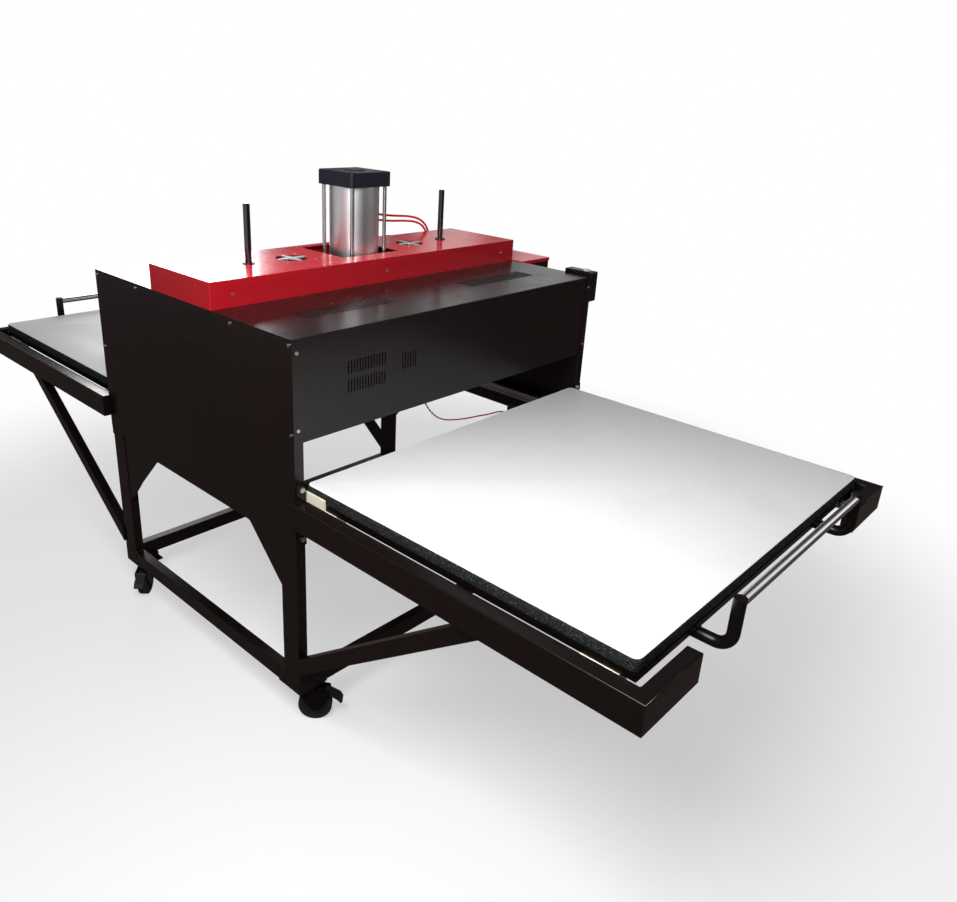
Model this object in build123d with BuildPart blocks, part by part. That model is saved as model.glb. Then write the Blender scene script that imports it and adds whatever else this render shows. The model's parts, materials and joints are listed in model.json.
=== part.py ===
from build123d import *
from math import cos, radians, sin, tan
import os

os.makedirs("parts", exist_ok=True)

# Axes: X runs left to right, Y from the front tray to the rear tray, Z up from the floor.
# Dimensions are taken about the middle of the press head. Finished pieces are moved so that
# the origin lies on the floor under the middle of the whole object's box.

# Driving dimensions, in millimetres. The body is built round the trays that slide into it.
tray_width = 1200.0
tray_depth = 1000.0
tray_side_gap = 10.0
tray_end_gap = 15.0
sheet = 2.0
leg_width = 30.0
leg_depth = 70.0
beam_height = 50.0
wheel_radius = 50.0
mid_beam_top = 690.0
hood_height = 277.0
rail_height = 72.0
rail_width = 40.0
rail_reach = 57.0
stub_depth = 34.0
stub_length = 179.0
pad_thickness = 31.0
top_sheet_thickness = 2.0
platen_stroke = 126.0
platen_thickness = 35.0
cover_half_depth = 160.0
cover_height = 76.0
rod_x = 410.0
rod_radius = 10.0
rod_length_above = 174.0
fan_x = 255.0
cylinder_side = 170.0
cap_height = 45.0
barrel_length = 230.0

# Body and frame, from the trays outwards and from the floor up
half_width = tray_width / 2
half_depth = tray_depth / 2
leg_inner = half_width + tray_side_gap
leg_outer = leg_inner + leg_width
body_half_width = leg_outer + sheet
body_half_depth = half_depth + tray_end_gap
leg_front = body_half_depth - 2 * sheet
leg_back = leg_front - leg_depth
tray_inner_edge = half_depth + 3
corner_plate = 6.0
crown_low = 2 * wheel_radius + 8
crown_high = crown_low + 5.7
plate_bottom_z = crown_high + 7.3
leg_bottom = plate_bottom_z + 5 + corner_plate
rail_inner = leg_outer - 16
rail_outer = rail_inner + rail_width
rail_bottom = mid_beam_top - 1
rail_top = rail_bottom + rail_height
rail_end = tray_inner_edge + tray_depth + rail_reach
stub_inner = rail_inner - stub_length
guide_base_top = mid_beam_top + 6
guide_top = guide_base_top + 20
plate_bottom = guide_top + 26
plate_skin = plate_bottom + 10
pad_bottom = plate_skin + 5
pad_top = pad_bottom + pad_thickness
tray_top = pad_top + top_sheet_thickness
platen_bottom = tray_top + platen_stroke
hood_bottom = platen_bottom - 3
body_top = hood_bottom + hood_height
leg_top = body_top - 30
cover_top = body_top + cover_height
rod_top = cover_top + rod_length_above
barrel_radius = cylinder_side / 2 - 5
bore_radius = barrel_radius - 5
caster_x = leg_outer - 50
caster_y = leg_front - 41
cabinet_right = body_half_width + 169
lid_lip = 2.0
pedal_swing = 90.51
box_middle = (cabinet_right + lid_lip - caster_x - pedal_swing) / 2

# Clearances
running = 0.05
sliding = 0.3
bush_fit = 0.2


def block(x, y, z, mode=Mode.ADD):
    """Adds a box given by its three spans to the part being built."""
    with Locations(((x[0] + x[1]) / 2, (y[0] + y[1]) / 2, (z[0] + z[1]) / 2)):
        Box(abs(x[1] - x[0]), abs(y[1] - y[0]), abs(z[1] - z[0]), mode=mode)


def post(x, y, z, radius, mode=Mode.ADD):
    """Adds an upright cylinder between two heights."""
    with Locations((x, y, (z[0] + z[1]) / 2)):
        Cylinder(radius, z[1] - z[0], mode=mode)


def keep(piece, name):
    """Labels a finished piece, moves it to the middle of the box and writes it."""
    placed = piece.part.moved(Location((-box_middle, 0, 0)))
    placed.label = name
    export_step(placed, f"parts/{name}.step")


# Welded base frame: four legs, lower ring, side beams, top ring and gussets
mid_beam_bottom = mid_beam_top - beam_height
upper_bottom = leg_top - beam_height
gusset_thickness = 6.0
front_gusset_run = 131.0
front_gusset_drop = 140.0
rear_gusset_run = 225.0
rear_gusset_drop = 255.0
lug_half = 20.0
lug_pitch = 200.0
lug_inner = leg_inner - 30
corner_reach = 100.0
corner_step = 40.0
tube_wall = 3.0

with BuildPart() as base_frame:
    for side in (-1, 1):
        x_span = (side * leg_inner, side * leg_outer)
        for end in (-1, 1):
            block(x_span, (end * leg_back, end * leg_front), (leg_bottom, leg_top))
        for low in (leg_bottom, mid_beam_bottom, upper_bottom):
            block(x_span, (-leg_back, leg_back), (low, low + beam_height))
        for y in (-1.5 * lug_pitch, -lug_pitch / 2, lug_pitch / 2, 1.5 * lug_pitch):
            lug_y = (y - lug_half, y + lug_half)
            block((side * lug_inner, side * leg_inner), lug_y, (mid_beam_top - 6, mid_beam_top))
    for end in (-1, 1):
        for low in (leg_bottom, upper_bottom):
            y_span = (end * (leg_front - leg_width), end * leg_front)
            block((-leg_inner, leg_inner), y_span, (low, low + beam_height))
    for side in (-1, 1):
        for end in (-1, 1):
            with BuildSketch(Plane.XY.offset(leg_bottom - corner_plate)):
                with BuildLine():
                    Polyline(
                        (side * leg_outer, end * leg_front),
                        (side * (leg_outer - corner_reach), end * leg_front),
                        (side * (leg_outer - corner_reach), end * (leg_front - corner_step)),
                        (side * (leg_outer - corner_step), end * (leg_front - corner_reach)),
                        (side * leg_outer, end * (leg_front - corner_reach)),
                        close=True,
                    )
                make_face()
            extrude(amount=corner_plate)
        with BuildSketch(Plane.YZ.offset(side * (leg_outer - 5) - gusset_thickness / 2)):
            Polygon(
                (leg_back, mid_beam_bottom),
                (leg_back - rear_gusset_run, mid_beam_bottom),
                (leg_back, mid_beam_bottom - rear_gusset_drop),
                align=None,
            )
            Polygon(
                (-leg_back, mid_beam_bottom),
                (-leg_back + front_gusset_run, mid_beam_bottom),
                (-leg_back, mid_beam_bottom - front_gusset_drop),
                align=None,
            )
        extrude(amount=gusset_thickness)
    # every tube is hollow, and the beams open into the legs, which are open at the top
    for side in (-1, 1):
        hollow_x = (side * (leg_inner + tube_wall), side * (leg_outer - tube_wall))
        for low in (leg_bottom, mid_beam_bottom, upper_bottom):
            hollow_z = (low + tube_wall, low + beam_height - tube_wall)
            block(hollow_x, (-leg_back - 4, leg_back + 4), hollow_z, Mode.SUBTRACT)
        for end in (-1, 1):
            hollow_y = (end * (leg_back + tube_wall), end * (leg_front - tube_wall))
            block(hollow_x, hollow_y, (leg_bottom + tube_wall, leg_top + 1), Mode.SUBTRACT)
    for end in (-1, 1):
        hollow_y = (end * (leg_front - leg_width + tube_wall), end * (leg_front - tube_wall))
        for low in (leg_bottom, upper_bottom):
            hollow_z = (low + tube_wall, low + beam_height - tube_wall)
            block((-leg_inner - 4, leg_inner + 4), hollow_y, hollow_z, Mode.SUBTRACT)
keep(base_frame, "base_frame")

# Press bridge: two crossbeams that carry the cylinder plate and the two bush plates
bridge_low = upper_bottom
bridge_high = body_top - 2 * sheet
bridge_plate_top = bridge_high + 14
bush_plate_top = bridge_high + 10
bridge_half_depth = 110.0
bridge_beam = 50.0
bridge_wall = 4.0
cylinder_plate_half = 150.0
bush_plate_half = 45.0
bush_radius = 15.0
ram_radius = 16.0

with BuildPart() as bridge:
    for end in (-1, 1):
        beam_y = (end * (bridge_half_depth - bridge_beam), end * bridge_half_depth)
        inner_y = (beam_y[0] + end * bridge_wall, beam_y[1] - end * bridge_wall)
        block((-leg_inner, leg_inner), beam_y, (bridge_low, bridge_high))
        inner_z = (bridge_low + bridge_wall, bridge_high - bridge_wall)
        block((-leg_inner, leg_inner), inner_y, inner_z, Mode.SUBTRACT)
    plate_y = (-bridge_half_depth, bridge_half_depth)
    block((-cylinder_plate_half, cylinder_plate_half), plate_y, (bridge_high, bridge_plate_top))
    for side in (-1, 1):
        plate_x = (side * rod_x - bush_plate_half, side * rod_x + bush_plate_half)
        block(plate_x, plate_y, (bridge_high, bush_plate_top))
        post(side * rod_x, 0, (bridge_high - 10, bush_plate_top + 10), bush_radius + bush_fit, Mode.SUBTRACT)
    post(0, 0, (bridge_high - 10, bridge_plate_top + 10), ram_radius + 4, Mode.SUBTRACT)
keep(bridge, "bridge")

# Guide rails: hardened bars on flat bases, one long one on each side
guide_end = rail_end - stub_depth - 2.0
guide_x = leg_inner - 24
guide_half = 8.0

with BuildPart() as guide_rails:
    for side in (-1, 1):
        base_x = (side * (leg_inner - 40), side * leg_inner)
        block(base_x, (-guide_end, guide_end), (mid_beam_top, guide_base_top))
        bar = (side * (guide_x - guide_half), side * (guide_x + guide_half))
        block(bar, (-guide_end, guide_end), (guide_base_top, guide_top))
    chamfer(guide_rails.edges().filter_by(Axis.Y).group_by(Axis.Z)[-1], 1)
keep(guide_rails, "guide_rails")


# Tray rails: side tube, end stub, slanted brace, mounting plate and lugs under the guide
brace_inner = leg_outer - 24
brace_outer = leg_outer + 6
brace_slope = 36.2
brace_half = 21.0
brace_foot = leg_bottom + 95
plate_low = rail_bottom - 69
plate_high = rail_top + 39
plate_thickness = 8.0
first_lug = body_half_depth + 105
last_lug = rail_end - 220


def tray_rail(side, end):
    """Builds the rail at one side of the front (end -1) or rear (end 1) tray."""
    start = end * (body_half_depth + 1)
    plate_face = end * (leg_front + plate_thickness)
    with BuildPart() as rail:
        block((side * rail_inner, side * rail_outer), (start, end * rail_end), (rail_bottom, rail_top))
        stub_y = (end * (rail_end - stub_depth), end * rail_end)
        block((side * stub_inner, side * rail_inner), stub_y, (rail_bottom, rail_top))
        fillet(rail.edges().filter_by(Axis.Y).group_by(Axis.Z)[-1], 3)
        plate_x = (side * (leg_inner + 1), side * (leg_outer - 0.5))
        block(plate_x, (end * leg_front, plate_face), (plate_low, plate_high))
        for i in range(4):
            y = first_lug + (last_lug - first_lug) * i / 3
            y_span = (end * (y - lug_half), end * (y + lug_half))
            block((side * (leg_outer - 22), side * rail_inner), y_span, (mid_beam_top - 6, plate_bottom - 2))
            block((side * lug_inner, side * rail_inner), y_span, (mid_beam_top - 6, mid_beam_top))
        slope = radians(brace_slope)
        run = (rail_bottom - brace_foot) / tan(slope)
        for half, inset, lift in ((brace_half, 0, 0), (brace_half - tube_wall, tube_wall, 4)):
            rise = half / cos(slope)
            spread = half / sin(slope)
            shift = lift / tan(slope)
            drop = inset * tan(slope)
            near = leg_front + inset
            with BuildSketch(Plane.YZ.offset(min(side * brace_inner, side * brace_outer) + inset)):
                Polygon(
                    (end * near, brace_foot - rise + drop),
                    (end * near, brace_foot + rise + drop),
                    (end * (leg_front + run - spread + shift), rail_bottom + lift),
                    (end * (leg_front + run + spread + shift), rail_bottom + lift),
                    align=None,
                )
            extrude(
                amount=brace_outer - brace_inner - 2 * inset,
                mode=Mode.SUBTRACT if inset else Mode.ADD,
            )
        hollow_x = (side * (rail_inner + tube_wall), side * (rail_outer - tube_wall))
        hollow_z = (rail_bottom + tube_wall, rail_top - tube_wall)
        block(hollow_x, (plate_face + end * tube_wall, end * (rail_end - tube_wall)), hollow_z, Mode.SUBTRACT)
        stub_hollow_y = (end * (rail_end - stub_depth + tube_wall), end * (rail_end - tube_wall))
        stub_hollow_x = (side * (stub_inner + tube_wall), side * (rail_inner + tube_wall))
        block(stub_hollow_x, stub_hollow_y, hollow_z, Mode.SUBTRACT)
        vent_x = (side * (rail_inner + tube_wall), side * (leg_outer - 4))
        block(vent_x, (end * (leg_front - 1), plate_face + end * plate_thickness), hollow_z, Mode.SUBTRACT)
    return rail


for end, place in ((-1, "front"), (1, "rear")):
    for side, hand in ((-1, "left"), (1, "right")):
        keep(tray_rail(side, end), f"rail_{place}_{hand}")

# Hood: one folded sheet over the top, front and rear, with vent slots in the front
hood_x = leg_outer
hood_y = body_half_depth - sheet
slot_width = 4.0
slot_pitch = 10.0
hood_opening_x = rod_x + 70
hood_opening_y = cover_half_depth - 40
slot_groups = [
    (-463, 14, body_top - 106, 36),
    (-463, 14, body_top - 158, 36),
    (-266, 6, body_top - 128, 46),
]

with BuildPart() as hood:
    block((-hood_x, hood_x), (-hood_y, hood_y), (hood_bottom, body_top))
    fillet(hood.edges().filter_by(Axis.X).group_by(Axis.Z)[-1], 2.5)
    inner_y = hood_y - sheet
    block((-hood_x, hood_x), (-inner_y, inner_y), (hood_bottom, body_top - sheet), Mode.SUBTRACT)
    opening_x = (-hood_opening_x, hood_opening_x)
    opening_y = (-hood_opening_y, hood_opening_y)
    block(opening_x, opening_y, (body_top - 10, body_top + 10), Mode.SUBTRACT)
    for x_first, count, z_mid, length in slot_groups:
        for i in range(count):
            x = x_first + i * slot_pitch
            z_span = (z_mid - length / 2, z_mid + length / 2)
            block((x, x + slot_width), (-hood_y - 1, -inner_y + 1), z_span, Mode.SUBTRACT)
keep(hood, "hood")


# Side covers: notched sheets with narrow flanges folded over the front and rear
flange = 26.0
cover_sheet_inner = body_half_width - sheet
cover_low = mid_beam_top - 218
cover_rise = 143.0
cover_rear_start = leg_back - 225
cover_rear_end = leg_back - 105
cover_rear_low = mid_beam_top - 39


def side_cover(side):
    """Builds the left (-1) or right (1) side cover."""
    with BuildPart() as cover:
        with BuildSketch(Plane.YZ.offset(min(side * cover_sheet_inner, side * body_half_width))):
            with BuildLine():
                FilletPolyline(
                    (-body_half_depth, body_top),
                    (-body_half_depth, cover_low),
                    (-leg_back, cover_low),
                    (-leg_back + cover_rise, cover_low + cover_rise),
                    (cover_rear_start, cover_low + cover_rise),
                    (cover_rear_end, cover_low + cover_rise - (cover_rear_end - cover_rear_start)),
                    (cover_rear_end, cover_rear_low),
                    (body_half_depth, cover_rear_low),
                    (body_half_depth, body_top),
                    radius=[2, 4, 20, 20, 4, 4, 2],
                )
                Line((body_half_depth, body_top), (-body_half_depth, body_top))
            make_face()
        extrude(amount=sheet)
        for end in (-1, 1):
            x_span = (side * (body_half_width - flange), side * body_half_width)
            y_span = (end * (body_half_depth - sheet), end * body_half_depth)
            block(x_span, y_span, (hood_bottom, body_top))
    return cover


keep(side_cover(-1), "side_cover_left")
keep(side_cover(1), "side_cover_right")

# Raised top cover with holes for the cylinder, the guide rods and the two fans
fan_hole = 48.0
collar_radius = 19.0
collar_top = cover_top + 3.0
cylinder_hole_front = -barrel_radius - 8
cylinder_hole_rear = barrel_radius + 48
cylinder_hole_side = barrel_radius + 38

with BuildPart() as red_cover:
    block((-body_half_width, body_half_width), (-cover_half_depth, cover_half_depth), (body_top, cover_top))
    fillet(red_cover.edges().filter_by(Axis.Z), 2.5)
    fillet(red_cover.faces().sort_by(Axis.Z)[-1].edges(), 1.5)
    x_in = body_half_width - sheet
    y_in = cover_half_depth - sheet
    block((-x_in, x_in), (-y_in, y_in), (body_top, cover_top - sheet), Mode.SUBTRACT)
    hole_z = (cover_top - 10, cover_top + 10)
    hole_x = (-cylinder_hole_side, cylinder_hole_side)
    block(hole_x, (cylinder_hole_front, cylinder_hole_rear), hole_z, Mode.SUBTRACT)
    for side in (-1, 1):
        post(side * rod_x, 0, hole_z, bush_radius + sliding, Mode.SUBTRACT)
        post(side * fan_x, 0, hole_z, fan_hole, Mode.SUBTRACT)
keep(red_cover, "red_cover")

# Cooling fans: square frames with four bright arms, under the top cover
fan_side = 120.0
fan_top = cover_top - sheet
fan_low = fan_top - 25.0
fan_bore = 57.0
hub_pin = 2.0

with BuildPart() as fan_frames:
    for side in (-1, 1):
        x = side * fan_x
        half = fan_side / 2
        block((x - half, x + half), (-half, half), (fan_low, fan_top))
        post(x, 0, (fan_low - 1, fan_top + 1), fan_bore, Mode.SUBTRACT)
        block((x - fan_bore - 1, x + fan_bore + 1), (-5, 5), (fan_top - 4, fan_top))
        block((x - 5, x + 5), (-fan_bore - 1, fan_bore + 1), (fan_top - 4, fan_top))
        post(x, 0, (fan_top - 6, fan_top), 17)
        post(x, 0, (fan_top - 7, fan_top - 1), hub_pin + running, Mode.SUBTRACT)
keep(fan_frames, "fan_frames")

blade_count = 7
blade_pitch = 35.0


def fan_rotor(side):
    """Builds one fan rotor: hub, pin and pitched blades."""
    x = side * fan_x
    middle = fan_low + 11.0
    with BuildPart() as rotor:
        post(x, 0, (middle - 7, middle + 7), 20)
        post(x, 0, (middle + 7, fan_top - 1.5), hub_pin)
        for i in range(blade_count):
            turn = radians(360 / blade_count * i)
            outward = (cos(turn), sin(turn), 0)
            root = (x + 18 * cos(turn), 18 * sin(turn), middle)
            with BuildSketch(Plane(origin=root, x_dir=(-sin(turn), cos(turn), 0), z_dir=outward)):
                Rectangle(22, 1.8, rotation=blade_pitch)
            extrude(amount=36)
    return rotor


keep(fan_rotor(-1), "fan_rotor_left")
keep(fan_rotor(1), "fan_rotor_right")

# Guide bushes: long flanged sleeves from the bridge up through the top cover
with BuildPart() as guide_bushes:
    for side in (-1, 1):
        post(side * rod_x, 0, (bridge_high - 8, cover_top), bush_radius)
        post(side * rod_x, 0, (bush_plate_top, bush_plate_top + 6), 26)
        post(side * rod_x, 0, (cover_top, collar_top), collar_radius)
        post(side * rod_x, 0, (bridge_high - 10, collar_top + 1), rod_radius + running, Mode.SUBTRACT)
keep(guide_bushes, "guide_bushes")

# Air cylinder: base cap, barrel, head cap and four tie rods
cap_low = bridge_plate_top
base_cap_top = cap_low + cap_height
barrel_top = base_cap_top + barrel_length
head_top = barrel_top + cap_height
tie_offset = cylinder_side / 2 - 16
tie_radius = 6.0

with BuildPart() as cylinder_base:
    with BuildSketch(Plane.XY.offset(cap_low)):
        RectangleRounded(cylinder_side, cylinder_side, 15)
    extrude(amount=base_cap_top - cap_low)
    post(0, 0, (cap_low - 1, base_cap_top + 1), ram_radius + running, Mode.SUBTRACT)
keep(cylinder_base, "cylinder_base")

with BuildPart() as cylinder_barrel:
    post(0, 0, (base_cap_top, barrel_top), barrel_radius)
    post(0, 0, (base_cap_top - 1, barrel_top + 1), bore_radius, Mode.SUBTRACT)
keep(cylinder_barrel, "cylinder_barrel")

with BuildPart() as cylinder_head:
    with BuildSketch(Plane.XY.offset(barrel_top)):
        RectangleRounded(cylinder_side, cylinder_side, 15)
    extrude(amount=head_top - barrel_top)
    fillet(cylinder_head.faces().sort_by(Axis.Z)[-1].edges(), 3)
    post(0, 0, (head_top - 5, head_top + 1), 34, Mode.SUBTRACT)
    post(0, 0, (head_top - 5, head_top + 2), 26)
    for x in (-tie_offset, tie_offset):
        for y in (-tie_offset, tie_offset):
            post(x, y, (head_top - 6, head_top + 1), 9, Mode.SUBTRACT)
keep(cylinder_head, "cylinder_head")

with BuildPart() as tie_rods:
    for x in (-tie_offset, tie_offset):
        for y in (-tie_offset, tie_offset):
            post(x, y, (base_cap_top, barrel_top), tie_radius)
keep(tie_rods, "tie_rods")

# Platen group: heated plate, carrier, guide rods and ram with its piston
platen_top = platen_bottom + platen_thickness
carrier_base = platen_top + 6.0
spine_top = carrier_base + 80.0
ram_foot_top = spine_top + 20.0
piston_low = barrel_top - 35
piston_high = barrel_top - 5
spine_x = half_width - 80
rib_height = 40.0
rib_x = half_width - 110
rib_y = half_depth - 200

with BuildPart() as heat_platen:
    block((-half_width, half_width), (-half_depth, half_depth), (platen_bottom, platen_top))
    chamfer(heat_platen.edges().group_by(Axis.Z)[0], 3)
keep(heat_platen, "heat_platen")

with BuildPart() as platen_carrier:
    rib_z = (carrier_base, carrier_base + rib_height)
    block((-spine_x, spine_x), (-40, 40), (carrier_base, spine_top))
    for end in (-1, 1):
        block((-spine_x, spine_x), (end * rib_y, end * (rib_y + 40)), rib_z)
        for x in (-rib_x, rib_x - 40, -20):
            block((x, x + 40), (end * 40, end * rib_y), rib_z)
    for x in (-half_width + 120, 0, half_width - 120):
        for y in (-rib_y - 20, 0, rib_y + 20):
            post(x, y, (platen_top, carrier_base), 25)
keep(platen_carrier, "platen_carrier")

with BuildPart() as guide_rods:
    for side in (-1, 1):
        post(side * rod_x, 0, (spine_top, rod_top), rod_radius)
    chamfer(guide_rods.faces().group_by(Axis.Z)[-1].edges(), 1.5)
keep(guide_rods, "guide_rods")

with BuildPart() as ram:
    post(0, 0, (spine_top, ram_foot_top), 40)
    post(0, 0, (ram_foot_top, piston_low), ram_radius)
    post(0, 0, (piston_low, piston_high), bore_radius - running)
keep(ram, "ram")


# Trays: steel frame plate, dark felt pad, white top sheet, glide blocks and pull handle
pocket_rim = 30.0
pocket_rib_x = 20.0
pocket_rib_y = 15.0
pocket_width = (tray_width - 2 * pocket_rim - 3 * pocket_rib_x) / 4
pocket_half = 150.0
pocket_spans = [
    (pocket_rim, half_depth - pocket_half - pocket_rib_y),
    (half_depth - pocket_half, half_depth + pocket_half),
    (half_depth + pocket_half + pocket_rib_y, tray_depth - pocket_rim),
]
glide_half = 18.0
glide_low = guide_base_top + 3.0
handle_x = stub_inner - 100
handle_radius = 14.0
bar_radius = 11.0
bar_z = tray_top + 45
handle_forward = 71.0
bar_end = handle_x + 8.0


def tray(end, place):
    """Builds every piece of the front (end -1) or rear (end 1) tray."""
    near = end * tray_inner_edge
    far = end * (tray_inner_edge + tray_depth)
    y_span = (near, far)

    with BuildPart() as plate:
        block((-half_width, half_width), y_span, (plate_skin, pad_bottom))
        block((-half_width, half_width), y_span, (plate_bottom, plate_skin))
        for i in range(4):
            x = -half_width + pocket_rim + i * (pocket_width + pocket_rib_x)
            for first, last in pocket_spans:
                pocket = (near + end * first, near + end * last)
                block((x, x + pocket_width), pocket, (plate_bottom - 1, plate_skin), Mode.SUBTRACT)
    keep(plate, f"tray_{place}_plate")

    with BuildPart() as pad:
        block((-half_width, half_width), y_span, (pad_bottom, pad_top))
        fillet(pad.edges().filter_by(Axis.Z), 6)
    keep(pad, f"tray_{place}_pad")

    with BuildPart() as top_sheet:
        block((-half_width + 2, half_width - 2), (near + end * 2, far - end * 2), (pad_top, tray_top))
        fillet(top_sheet.edges().filter_by(Axis.Z), 6)
    keep(top_sheet, f"tray_{place}_sheet")

    with BuildPart() as glides:
        for side in (-1, 1):
            for y in (near + end * 80, far - end * 80):
                x_span = (side * (guide_x - glide_half), side * (guide_x + glide_half))
                block(x_span, (y - 45, y + 45), (glide_low, plate_bottom))
                slot = (side * (guide_x - guide_half - sliding), side * (guide_x + guide_half + sliding))
                block(slot, (y - 45, y + 45), (glide_low, guide_top + sliding), Mode.SUBTRACT)
            pads = (near + end * 2, near + end * 84)
            block((side * half_width, side * (half_width + 6)), pads, (plate_bottom, plate_bottom + 30))
    keep(glides, f"tray_{place}_glides")

    root_z = plate_bottom - handle_radius
    bar_y = far + end * handle_forward
    with BuildPart() as brackets:
        for side in (-1, 1):
            x = side * handle_x
            with BuildLine():
                FilletPolyline(
                    (x, far - end * 50, root_z),
                    (x, bar_y, root_z),
                    (x, bar_y, bar_z + handle_radius),
                    radius=36,
                )
            with BuildSketch(Plane(origin=(x, far - end * 50, root_z), z_dir=(0, end, 0))):
                Circle(handle_radius)
            sweep()
            saddle_y = (far - end * 30, far)
            block((x - 10, x + 10), saddle_y, (root_z, plate_bottom))
        with Locations((0, bar_y, bar_z)):
            Cylinder(bar_radius + running, 2 * bar_end, rotation=(0, 90, 0), mode=Mode.SUBTRACT)
    keep(brackets, f"tray_{place}_brackets")

    with BuildPart() as handle:
        with Locations((0, bar_y, bar_z)):
            Cylinder(bar_radius, 2 * bar_end, rotation=(0, 90, 0))
    keep(handle, f"tray_{place}_handle")


tray(-1, "front")
tray(1, "rear")

# Casters: shared fixed plates with their swivel pins, then fork, wheel and brake pedal for each
trail = 30.0
cheek_inner = 17.0
cheek_outer = 21.0
axle_radius = 5.0
pivot_trail = 66.0
pivot_z = crown_low - 12
pivot_radius = 4.0
casters = {
    "front_left": (-caster_x, -caster_y, -45.0),
    "front_right": (caster_x, -caster_y, -30.0),
    "rear_left": (-caster_x, caster_y, 225.0),
    "rear_right": (caster_x, caster_y, 60.0),
}

with BuildPart() as caster_plates:
    for x, y, turn in casters.values():
        block((x - 45, x + 45), (y - 38, y + 38), (plate_bottom_z, leg_bottom - corner_plate))
        post(x, y, (crown_high + sliding, plate_bottom_z), 28)
        post(x, y, (crown_low - 3, crown_high + sliding), 6)
        post(x, y, (crown_low - 5, crown_low - sliding), 9)
keep(caster_plates, "caster_plates")


def caster_frame(x, y, turn):
    """Gives the upright plane through a caster's trail, with its own x along the trail."""
    along = (cos(radians(turn)), sin(radians(turn)), 0)
    across = (sin(radians(turn)), -cos(radians(turn)), 0)
    return Plane(origin=(x, y, 0), x_dir=along, z_dir=across)


def caster(name, x, y, turn):
    """Builds the fork, wheel and brake pedal of one caster."""
    side_plane = caster_frame(x, y, turn)

    with BuildPart() as fork:
        with BuildSketch(Plane.XY.offset(crown_low)):
            with Locations((x, y)):
                Circle(28)
                RectangleRounded(52, 2 * cheek_outer, 4, rotation=turn)
        extrude(amount=crown_high - crown_low)
        for near in (cheek_inner, -cheek_outer):
            with BuildSketch(side_plane.offset(near)):
                Polygon(
                    (-24, crown_high),
                    (24, crown_high),
                    (74, crown_low - 4),
                    (76, crown_low - 20),
                    (46, wheel_radius - 10),
                    (36, wheel_radius - 14),
                    (24, wheel_radius - 14),
                    (16, wheel_radius - 6),
                    (-24, crown_low),
                    align=None,
                )
            extrude(amount=cheek_outer - cheek_inner)
        with BuildSketch(side_plane.offset(-cheek_outer)):
            with Locations((trail, wheel_radius)):
                Circle(axle_radius)
            with Locations((pivot_trail, pivot_z)):
                Circle(pivot_radius)
        extrude(amount=2 * cheek_outer)
        post(x, y, (crown_low - 1, crown_high + 1), 6 + running, Mode.SUBTRACT)
    keep(fork, f"caster_{name}_fork")

    with BuildPart() as wheel:
        with BuildSketch(side_plane.offset(-15)):
            with Locations((trail, wheel_radius)):
                Circle(wheel_radius)
        extrude(amount=30)
        rims = wheel.edges().filter_by(GeomType.CIRCLE)
        fillet(rims, 4)
        for near, depth in ((-16, 5), (11, 5)):
            with BuildSketch(side_plane.offset(near)):
                with Locations((trail, wheel_radius)):
                    Circle(wheel_radius - 16)
                    Circle(16, mode=Mode.SUBTRACT)
            extrude(amount=depth, mode=Mode.SUBTRACT)
        with BuildSketch(side_plane.offset(-20)):
            with Locations((trail, wheel_radius)):
                Circle(axle_radius + running)
        extrude(amount=40, mode=Mode.SUBTRACT)
    keep(wheel, f"caster_{name}_wheel")

    with BuildPart() as pedal:
        with BuildSketch(side_plane.offset(-cheek_inner + 1)):
            with Locations((pivot_trail, pivot_z)):
                Circle(7)
            Polygon(
                (pivot_trail, pivot_z + 7),
                (104, pivot_z - 16),
                (112, pivot_z - 30),
                (106, pivot_z - 36),
                (96, pivot_z - 24),
                (70, pivot_z - 6),
                align=None,
            )
            with Locations((pivot_trail, pivot_z)):
                Circle(pivot_radius + running, mode=Mode.SUBTRACT)
        extrude(amount=2 * cheek_inner - 2)
    keep(pedal, f"caster_{name}_pedal")


for name, (x, y, turn) in casters.items():
    caster(name, x, y, turn)

# Control cabinet on the right side: box, overhanging lid and operating panel
cabinet_half_depth = 205.0
cabinet_x = (body_half_width, cabinet_right)
cabinet_y = (-cabinet_half_depth, cabinet_half_depth)
cabinet_z = (body_top - 310, body_top - 10)
lid_y = (-cabinet_half_depth - lid_lip, cabinet_half_depth + lid_lip)
panel_x = (body_half_width + 20, cabinet_right - 19)
panel_z = (cabinet_z[0] + 110, cabinet_z[1] - 30)
panel_face = -cabinet_half_depth - 4
stop_x = body_half_width + 85
stop_z = cabinet_z[0] + 55
key_width = 16.0
key_pitch = 26.0

with BuildPart() as control_cabinet:
    block(cabinet_x, cabinet_y, cabinet_z)
    fillet(control_cabinet.edges().filter_by(Axis.Z), 3)
    inside_x = (cabinet_x[0] + sheet, cabinet_x[1] - sheet)
    inside_y = (cabinet_y[0] + sheet, cabinet_y[1] - sheet)
    block(inside_x, inside_y, (cabinet_z[0] + sheet, cabinet_z[1] + 1), Mode.SUBTRACT)
    with Locations((stop_x, cabinet_y[0] + 1, stop_z)):
        Cylinder(8 + running, 12, rotation=(90, 0, 0), mode=Mode.SUBTRACT)
    for y, outer, bore in ((150, 12, 6.0), (90, 10, 4.1)):
        with Locations((stop_x, y, cabinet_z[0] - 4)):
            Cylinder(outer, 12)
            Cylinder(bore, 30, mode=Mode.SUBTRACT)
keep(control_cabinet, "control_cabinet")

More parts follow.
